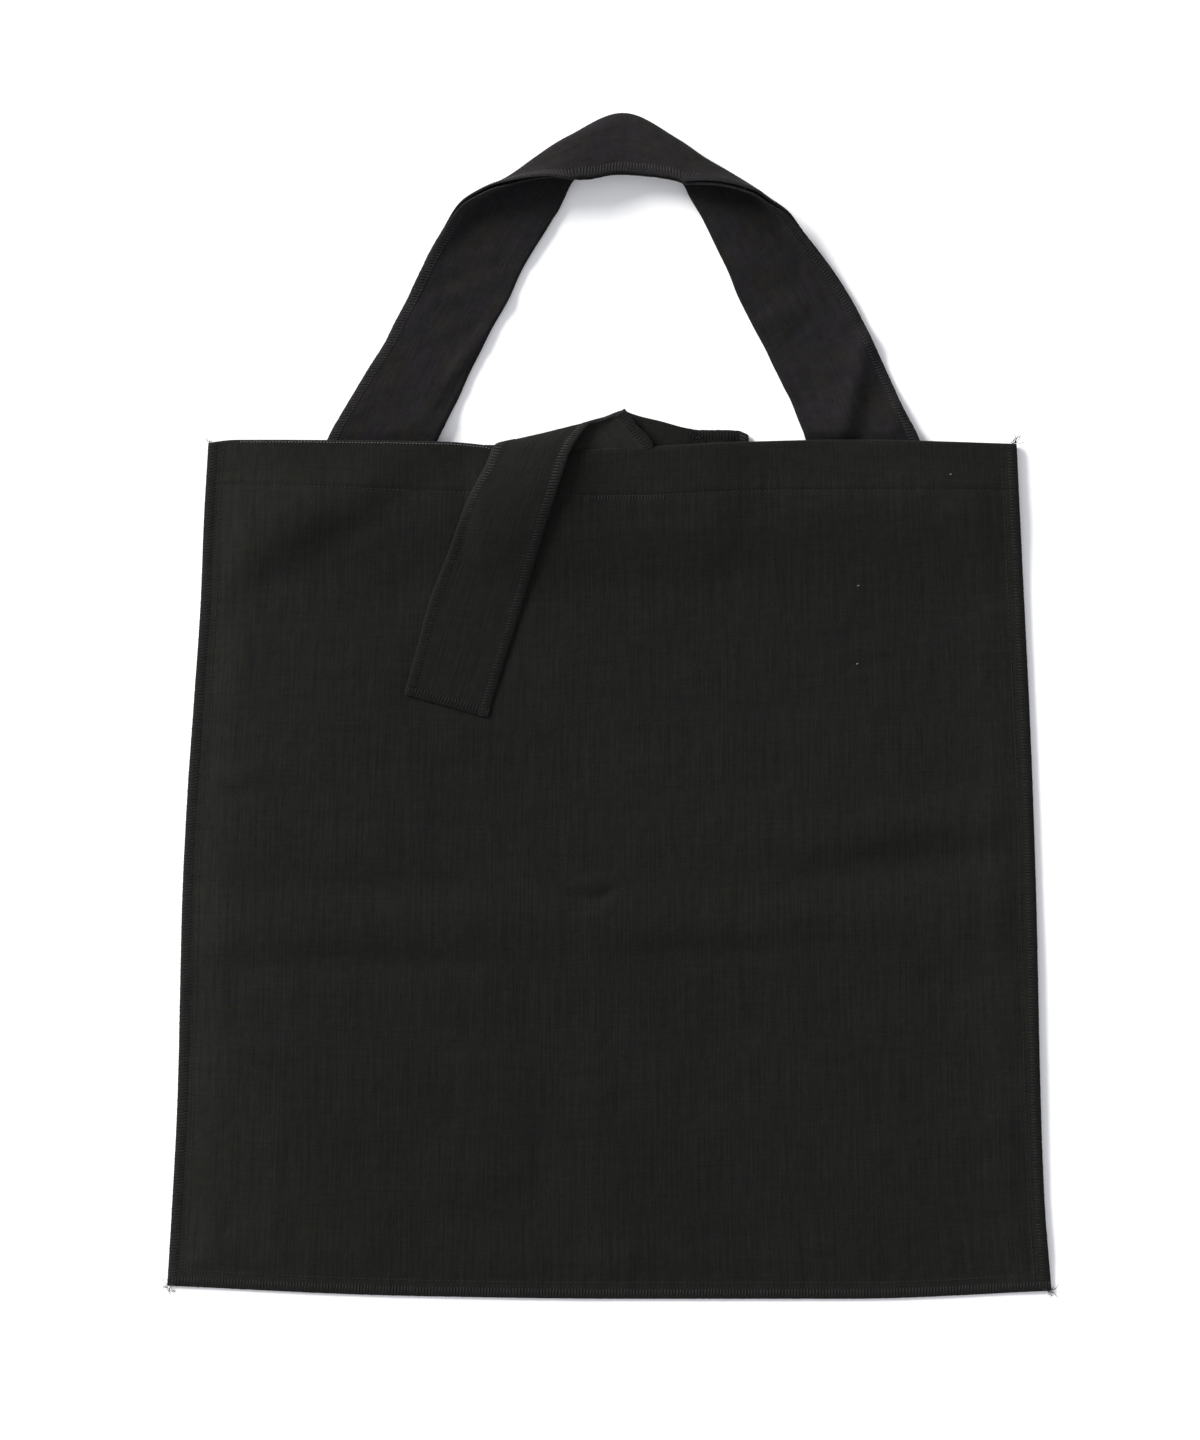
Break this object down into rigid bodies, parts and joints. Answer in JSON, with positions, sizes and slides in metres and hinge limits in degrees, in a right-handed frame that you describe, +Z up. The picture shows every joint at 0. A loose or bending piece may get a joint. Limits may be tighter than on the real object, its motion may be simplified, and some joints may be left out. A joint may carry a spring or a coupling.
{
  "type": "tote bag",
  "caption": "Large unlined cloth tote bag lying flat, with two nested strap handles folded over at the crown and two closing ties at the mouth.",
  "frame": {"origin": "on the surface under the bag, below the middle of its whole outline", "axes": "+Z up from the surface, +Y from the bottom seam to the handles, +X to the right as seen from above"},
  "size_m": [0.4857, 0.6508, 0.0244],
  "materials": {
    "panel_cloth": "matt black plain-weave cotton with faint slubs",
    "strap_cloth": "the same cotton, two plies, overlocked on one edge",
    "tie_cloth": "the same cotton, one ply, overlocked on its edges"
  },
  "bodies": {
    "root": {"front_panel": "panel_cloth", "back_panel": "panel_cloth", "handle_front": "strap_cloth", "handle_back": "strap_cloth", "tie_front": "tie_cloth", "tie_back": "tie_cloth"}
  },
  "joints": []
}
